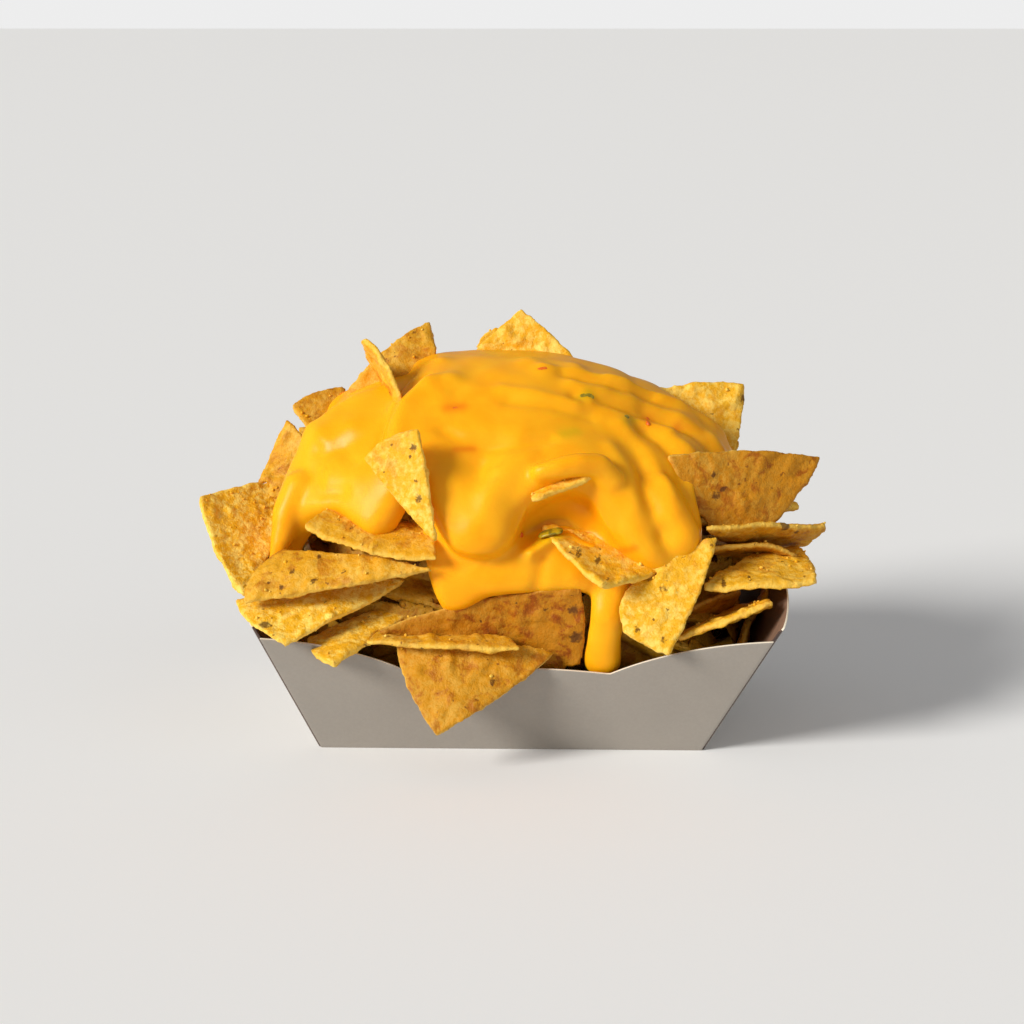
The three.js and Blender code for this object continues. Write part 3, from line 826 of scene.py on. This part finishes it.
# %% Folds, lumps and ripples in the sauce
# Each stroke follows places on the mound as (turn, rise): half its width and its
# height in millimetres come first.
STROKES = [
    (3.2, 0.6, [(-117, 56), (-110, 49), (-104, 46), (-96, 45.5), (-88, 46)]),
    (3.6, 0.9, [(-120, 63), (-128, 59), (-134, 53)]),
    (2.2, -1.7, [(-134, 62), (-132.5, 54), (-130.5, 47), (-128, 42), (-125.5, 38)]),
    (3.0, 1.3, [(-127, 61), (-126.5, 53), (-124.5, 47), (-121, 42)]),
    (2.4, -1.2, [(-110, 45), (-104, 43), (-96, 42), (-88, 42.5), (-80, 44.5)]),
    (5.0, -2.4, [(-108, 37.5), (-104, 37), (-99, 36.5)]),
    (2.7, 1.4, [(-60, 65), (-42, 60), (-28, 55), (-14, 46)]),
    (2.2, -1.2, [(-64, 60), (-48, 56), (-34, 50), (-20, 42)]),
    (2.3, 1.4, [(-58, 58), (-46, 54), (-38, 50), (-34, 46)]),
    (2.2, -1.2, [(-45, 50), (-42, 44), (-43, 36), (-46, 28)]),
    (3.1, 1.4, [(-52, 50), (-50, 42), (-52, 32), (-56, 22)]),
    (2.7, 1.2, [(-38, 44), (-36, 38), (-38, 32)]),
    (2.3, 1.2, [(-70, 73), (-45, 69), (-20, 62), (-6, 52)]),
    (2.0, -1.2, [(-60, 70), (-38, 65), (-18, 57)]),
    (4.0, 0.9, [(-95, 34), (-96, 27), (-98, 20)]),
    (2.7, -0.6, [(-82, 40), (-88, 34), (-90, 27)]),
    (4.0, 0.9, [(-64, 30), (-62, 22), (-60, 15)]),
    (2.7, -0.9, [(-147, 36), (-140, 38), (-133, 35)]),
    (3.2, 1.2, [(-160, 41), (-152, 40), (-146, 38)]),
    (2.9, 0.9, [(-152, 28), (-148, 20), (-150, 12)]),
    (2.7, -0.9, [(-142, 30), (-137, 26), (-131, 27)]),
    (5.5, -5.2, [(-86, 22), (-81, 25), (-76, 25), (-72, 22)]),
    (2.2, 3.6, [(-86, 16), (-81, 20), (-76, 21), (-71, 17)]),
    (2.4, 1.0, [(-96, 62), (-80, 60), (-66, 57)]),
    (2.2, -0.9, [(-92, 57), (-76, 56), (-62, 53)]),
    (2.6, 1.1, [(-30, 66), (-16, 58), (-6, 48), (-2, 40)]),
    (2.6, -1.0, [(-33, 54), (-26, 46), (-26, 38), (-30, 30)]),
    (2.8, 0.9, [(-62, 42), (-60, 34), (-62, 26)]),
    (2.6, -0.9, [(-56, 36), (-55, 28), (-57, 18)]),
    (3.0, 1.2, [(-22, 48), (-18, 40), (-20, 34)]),
    (2.6, -1.1, [(-83, 14), (-84, 9), (-85, 4)]),
    (5.0, 1.0, [(-99, 9), (-95, 7)]),
    (4.5, 0.9, [(-76, 10), (-74, 6)]),
]
LUMPS = [  # turn, rise, half width and height of bumps where something lies under the sauce
    (-163, 46, 5, 1.1), (-168, 40, 3.5, 1.3), (-142, 44, 4, 1.0), (-152, 72, 3.5, 1.3),
    (-78, 78, 4, 1.3), (-41, 73, 3.5, 1.4), (-119, 63, 3.5, 1.0),
    (-71, 71, 4, 1.0), (-125, 59, 3, 1.0), (-162, 39, 4.5, 1.6), (-47, 51, 3, 1.0),
    (-30, 60, 4, 1.1), (-97, 21, 6, 0.6), (-59, 60, 3, 0.9), (-12, 50, 4, 1.0),
    (60, 60, 5, 1.1), (100, 66, 4, 1.2), (140, 50, 5, 1.2), (20, 55, 5, 1.1), (80, 40, 5, 1.0),
]
shape = points_of(sauce) / MM
turn, rise, way_out = mound_place(shape)
on_mound = mound_points(turn, rise, 0 * turn)
sauce.normal_update()
outer = np.clip((np.array([vert.normal for vert in sauce.verts]) * way_out).sum(1) * 1.6, 0, 1)
relief = np.zeros(len(shape))


def near_path(points, path):
    """How far points of the mound are from a path of places on it."""
    stations = np.array(path, float)
    steps = np.linspace(0, len(stations) - 1, 12 * len(stations))
    turns = np.interp(steps, range(len(stations)), stations[:, 0])
    rises = np.interp(steps, range(len(stations)), stations[:, 1])
    line = mound_points(turns, rises, 0 * turns)
    return np.sqrt(((points[:, None, :] - line[None]) ** 2).sum(-1).min(1))


for half_width, height, path in STROKES:
    relief += height * np.exp(-((near_path(on_mound, path) / half_width) ** 2))
for turn, rise, half_width, height in LUMPS:
    relief += height * np.exp(-((near_path(on_mound, [(turn, rise), (turn + 0.1, rise)]) / half_width) ** 2))
ripple = np.array([0.9 * noise.noise(Vector(p) * 0.045) + 0.5 * noise.noise(Vector(p) * 0.11)
                   for p in shape])
move_points(sauce, (shape + way_out * (outer * (relief + ripple))[:, None]) * MM)
smooth(sauce, 2)


# %% [markdown]
# The sauce glows: light goes in and comes out again orange. Subsurface scattering does
# that, and a fairly smooth surface gives the broad, soft highlights. Bits of pepper
# under the surface tint it, so the places where they are get an attribute that the
# material turns to red or green.

# %% Sauce material
DEEP_YELLOW = (0.94, 0.37, 0.003, 1)
BRIGHT_YELLOW = (0.97, 0.44, 0.008, 1)
STREAK_YELLOW = (0.93, 0.33, 0.005, 1)
cheese, nodes, shader, place = new_material("cheese")
clouds = nodes.band(nodes.noise(place, 45.0, 3, 0.55, 0.6), 0.3, 0.72)
streaks = nodes.band(nodes.noise(place, 160.0, 3, 0.6, 1.0), 0.5, 0.8)
colour = nodes.mix(clouds, DEEP_YELLOW, BRIGHT_YELLOW)
colour = nodes.mix(nodes.math("MULTIPLY", streaks, 0.3), colour, STREAK_YELLOW)
colour = nodes.mix(nodes.attribute("red_tint"), colour, linear(222, 92, 8))
colour = nodes.mix(nodes.attribute("green_tint"), colour, linear(196, 170, 10))
nodes.put(shader.inputs["Base Color"], colour)
shader.inputs["Subsurface Weight"].default_value = 0.35
shader.inputs["Subsurface Radius"].default_value = (1.0, 0.45, 0.1)
shader.inputs["Subsurface Scale"].default_value = 0.004
shader.inputs["Specular IOR Level"].default_value = 0.16
nodes.put(shader.inputs["Roughness"], nodes.math("ADD", 0.34, nodes.math("MULTIPLY", clouds, 0.08)))
surface = nodes.noise(place, 300.0, 3, 0.5, 0.3)
relief_node = nodes.add("ShaderNodeBump", None, Height=surface, Strength=0.12, Distance=0.0005)
nodes.put(shader.inputs["Normal"], relief_node.outputs["Normal"])

# %% Tint the sauce over the pepper bits
RED_TINTS = [(-110, 53, 3), (-36, 51, 4), (-103, 41, 2), (-66, 15, 2), (-28, 46, 2.5), (60, 40, 3)]
GREEN_TINTS = [(-47, 51, 3.4), (-59, 60, 3), (-73, 47, 4), (-82, 20, 4), (-150, 50, 3), (110, 50, 4)]
for name, places in (("red_tint", RED_TINTS), ("green_tint", GREEN_TINTS)):
    layer = sauce.verts.layers.float.new(name)
    tint = np.zeros(len(on_mound))
    for turn, rise, size in places:
        away = near_path(on_mound, [(turn - 2, rise - 0.6), (turn + 2, rise + 0.6)])
        tint += 0.5 * np.exp(-((away / size * 1.6) ** 2))
    for vert, value in zip(sauce.verts, tint):
        vert[layer] = value
sauce_skin = BVHTree.FromBMesh(sauce)
finished_piece("cheese_sauce_poured", sauce, [cheese], ["cheese_sauce"])

# %% [markdown]
# ## Bits of pepper
#
# Short strips of red and green pepper lie in the sauce with only their tops showing. A
# ray from outside finds the surface of the sauce, and the bit is sunk into it there.

# %% Pepper materials
def pepper_material(name, light, dark):
    material, nodes, shader, place = new_material(name)
    skin = nodes.band(nodes.noise(place, 500.0, 3, 0.6, 0.5), 0.35, 0.65)
    nodes.put(shader.inputs["Base Color"], nodes.mix(skin, dark, light))
    shader.inputs["Roughness"].default_value = 0.3
    shader.inputs["Subsurface Weight"].default_value = 0.2
    shader.inputs["Subsurface Scale"].default_value = 0.002
    return material


red_pepper = pepper_material("red_pepper", linear(236, 112, 12), linear(214, 72, 6))
green_pepper = pepper_material("green_pepper", linear(176, 150, 22), linear(112, 96, 18))

# %% Sink the bits into the sauce
# turn, rise, length, width, heading in degrees and how far it stands out, in millimetres
RED_BITS = [(-110, 53, 6, 1.5, 10, -0.05), (-37, 51, 6.5, 1.5, -8, 0.0), (-33, 52, 4, 1.4, 75, 0.0),
            (-28, 47, 3.5, 1.8, 30, 0.1), (-88, 21, 2.4, 1.4, 60, 0.4), (-72, 71, 5, 1.6, 10, 0.0),
            (60, 42, 6, 1.8, 20, 0.2), (120, 55, 5, 1.6, -40, 0.2), (165, 48, 5, 1.8, 60, 0.2),
            (15, 50, 5, 1.6, -30, 0.2)]
GREEN_BITS = [(-59, 60, 6, 2.6, -12, -0.05), (-81, 20.5, 8, 4, 50, 1.6), (-47, 52, 3.5, 1.8, 0, 0.0),
              (90, 60, 6, 2.6, 15, 0.3), (-158, 50, 4, 2, 0, -0.1), (40, 56, 5, 2.2, 40, 0.2),
              (140, 40, 6, 2.4, -20, 0.2)]
BIT_THICKNESS = 1.3


def add_bit(bm, turn, rise, length, width, heading, stands_out):
    """A bent strip with rounded sides, sunk into the sauce until only its top stands out."""
    far = Vector(mound_points(np.array([turn]), np.array([rise]), np.array([40]))[0])
    near = Vector(mound_points(np.array([turn]), np.array([rise]), np.array([-20]))[0])
    point, normal, _, _ = sauce_skin.ray_cast(far * MM, (near - far).normalized())
    up = normal.normalized()
    along = up.cross(Vector((0, 0, 1))).normalized()
    along = Matrix.Rotation(math.radians(heading), 3, up) @ along
    across = up.cross(along)
    for vert in bmesh.ops.create_icosphere(bm, subdivisions=3, radius=1)["verts"]:
        x, y, z = (math.copysign(abs(value) ** 0.65, value) for value in vert.co)
        wobble = 1 + 0.25 * noise.noise(vert.co * 1.3 + Vector((turn, rise, 0)))
        z = (z * 0.5 - 0.35 * x * x) * BIT_THICKNESS
        place = along * (x * length / 2) + across * (y * width / 2 * wobble) + up * z
        vert.co = point + (place + up * (stands_out - 0.42 * BIT_THICKNESS)) * MM


for name, bits, material in (("red_pepper_bits", RED_BITS, red_pepper),
                             ("green_pepper_bits", GREEN_BITS, green_pepper)):
    bm = bmesh.new()
    for bit in bits:
        add_bit(bm, *bit)
    finished_piece(name, bm, [material])
print("pepper bits:", len(RED_BITS) + len(GREEN_BITS))

# %% [markdown]
# ## Crumbs
#
# Frying and packing leave crumbs and grains of salt lying on the chips.

# %% Scatter the crumbs
CRUMBS = 260
CRUMB_SIZES = (0.2, 0.55)  # radius in millimetres
CRUMB_TONE = 0.9
dice = random.Random(19)
crumbs = bmesh.new()
tone_layer = crumbs.verts.layers.float.new("tone")
for point, normal in dice.sample(crumb_beds, CRUMBS):
    size = dice.uniform(*CRUMB_SIZES) * MM
    place = Matrix.Translation(point + normal * size * 0.5)
    shift = Vector([dice.uniform(-90, 90) for _ in range(3)])
    for vert in bmesh.ops.create_icosphere(crumbs, subdivisions=2, radius=size, matrix=place)["verts"]:
        vert[tone_layer] = CRUMB_TONE
        vert.co += (vert.co - place.translation) * 0.7 * noise.noise(vert.co / MM * 1.5 + shift)
finished_piece("loose_crumbs", crumbs, [corn_chip])
print("crumbs:", CRUMBS)

# %% [markdown]
# ## Chips packed under the sauce
#
# Between the big chips the eye falls on more chips, whole and broken, and deep down on
# darkness. The solid in the middle stands for all of them. Here it is replaced by
# simple curved triangles laid just inside the mound in a fixed random order, over a
# smaller core. Both are coloured with a darker, browner copy of the chip material:
# painted shade, deep in the heap. They are far enough in to need only a few hundred
# faces each.

# %% One packed chip
PACKED_CORNER = 5
PACKED_THICKNESS = 2


def add_packed_chip(bm, place, size, shift):
    """A rounded triangle with a fold to it, moved to its place in millimetres."""
    chip = bmesh.new()
    bmesh.ops.create_circle(chip, cap_ends=True, segments=3, radius=size)
    bmesh.ops.bevel(chip, geom=chip.verts, offset=PACKED_CORNER, offset_type="OFFSET", segments=3,
                    profile=0.5, affect="VERTICES", material=-1)
    bmesh.ops.triangulate(chip, faces=chip.faces)
    for _ in range(2):
        bmesh.ops.subdivide_edges(chip, edges=chip.edges, cuts=1, use_grid_fill=True)
    extruded = bmesh.ops.extrude_face_region(chip, geom=chip.faces[:])["geom"]
    top = [item for item in extruded if isinstance(item, bmesh.types.BMVert)]
    bmesh.ops.translate(chip, verts=top, vec=(0, 0, PACKED_THICKNESS))
    bmesh.ops.recalc_face_normals(chip, faces=chip.faces)
    for vert in chip.verts:
        spot = vert.co + shift
        vert.co.z += 1.6 * noise.noise(spot * 0.07) + 0.5 * noise.noise(spot * 0.3)
        vert.co.z += 0.006 * vert.co.x**2
        vert.co.xy += Vector((noise.noise(spot * 0.4), noise.noise(spot * 0.4 + shift))) * 0.7
    chip.transform(place)
    take_in(bm, chip)


# %% Pressing things in
# room in millimetres left to the walls, the sauce's mound and the base
SIDE_ROOM = 2.5
FRONT_ROOM = 8
UNDER_SAUCE = 10.5
ABOVE_BASE = 2
NO_WALL = 1000  # above the side walls nothing holds the chips in


def pressed_in(points):
    """Points in millimetres, moved in under the sauce and inside the tray's walls."""
    points = points.copy()
    turn, rise, way_out = mound_place(points)
    deepest = mound_points(turn, rise, np.full(len(points), -UNDER_SAUCE))
    outside = ((points - deepest) * way_out).sum(1) > 0
    points[outside] = deepest[outside]
    for axis, half, room in ((0, BASE_LENGTH / 2, SIDE_ROOM), (1, BASE_WIDTH / 2, FRONT_ROOM)):
        inside = reach(half, "left", points[:, 2]) - room
        walls = np.where(points[:, 2] < CORNER_HEIGHT + SIDE_HUMP, inside, NO_WALL)
        points[:, axis] = np.clip(points[:, axis], -walls, walls)
    points[:, 2] = np.maximum(points[:, 2], ABOVE_BASE)
    return points


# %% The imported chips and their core
PACKED_CHIPS = 165
GOLDEN_ANGLE = 137.5
LOWEST_RISE, RISE_SPAN = -38, 84  # degrees on the mound
PACKED_DEPTHS = (-17, -10)  # millimetres off the mound
PACKED_SIZES = (17, 24)
# the packed chips and the core are less pale and browned: painted shade deep in the heap
PACKED_TONE = 0.4
PACKED_FRIED_AND_SHADED = 0.4
CORE_SCALE = (0.93, 0.88, 0.93)
CORE_VOXEL = 2.5 * MM
dice = random.Random(7)
packed = bmesh.new()
for index in range(PACKED_CHIPS):
    # golden-angle steps spread the chips evenly round the mound
    turn = (index * GOLDEN_ANGLE) % 360 - 180
    rise = LOWEST_RISE + RISE_SPAN * ((index + 0.5) / PACKED_CHIPS)
    depth = dice.uniform(*PACKED_DEPTHS)
    point = mound_points(np.array([turn]), np.array([rise]), np.array([depth]))[0]
    heading = math.radians(turn)
    tilt = Euler((dice.uniform(-0.5, 0.5), dice.uniform(-0.9, 0.4), heading + dice.uniform(-0.6, 0.6)))
    spin = Matrix.Rotation(dice.uniform(0, 2 * math.pi), 4, "Z")
    place = Matrix.Translation(Vector(point)) @ tilt.to_matrix().to_4x4() @ spin
    shift = Vector([dice.uniform(-300, 300) for _ in range(3)])
    add_packed_chip(packed, place, dice.uniform(*PACKED_SIZES), shift)

move_points(packed, pressed_in(points_of(packed)) * MM)
low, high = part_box("chip_heap")
print("packed chips:", PACKED_CHIPS, "faces:", len(packed.faces))
core = solid_copy("chip_heap")
middle = (low + high) / 2
bmesh.ops.scale(core, verts=core.verts, vec=CORE_SCALE, space=Matrix.Translation(-middle))
core = fused(core, CORE_VOXEL)
for vert in core.verts:
    vert.co += vert.normal * 3 * MM * noise.noise(vert.co / MM * 0.09)
move_points(core, pressed_in(points_of(core) / MM) * MM)
take_in(packed, core)
tone_layer = packed.verts.layers.float.new("tone")
fried_and_shaded_layer = packed.verts.layers.float.new("fried_and_shaded")
for vert in packed.verts:
    vert[tone_layer] = PACKED_TONE
    vert[fried_and_shaded_layer] = PACKED_FRIED_AND_SHADED
finished_piece("packed_chips", packed, [shaded_chip], ["chip_heap"])

# %% Floor
FLOOR_REACH = 40  # metres from the middle to each edge, which puts the far edge near the horizon
floor_mesh = bmesh.new()
bmesh.ops.create_grid(floor_mesh, x_segments=1, y_segments=1, size=FLOOR_REACH)
mesh = bpy.data.meshes.new("floor")
floor_mesh.to_mesh(mesh)
floor_mesh.free()
floor = bpy.data.objects.new("floor", mesh)
bpy.context.scene.collection.objects.link(floor)
paper, nodes, shader, place = new_material("floor_paper")
shader.inputs["Base Color"].default_value = (0.92, 0.92, 0.92, 1)
shader.inputs["Roughness"].default_value = 0.9
mesh.materials.append(paper)
floor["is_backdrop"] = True

# %% Print the sizes and finish
low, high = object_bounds()
print("visual box:", [round(v / MM, 1) for v in (*low, *high)])
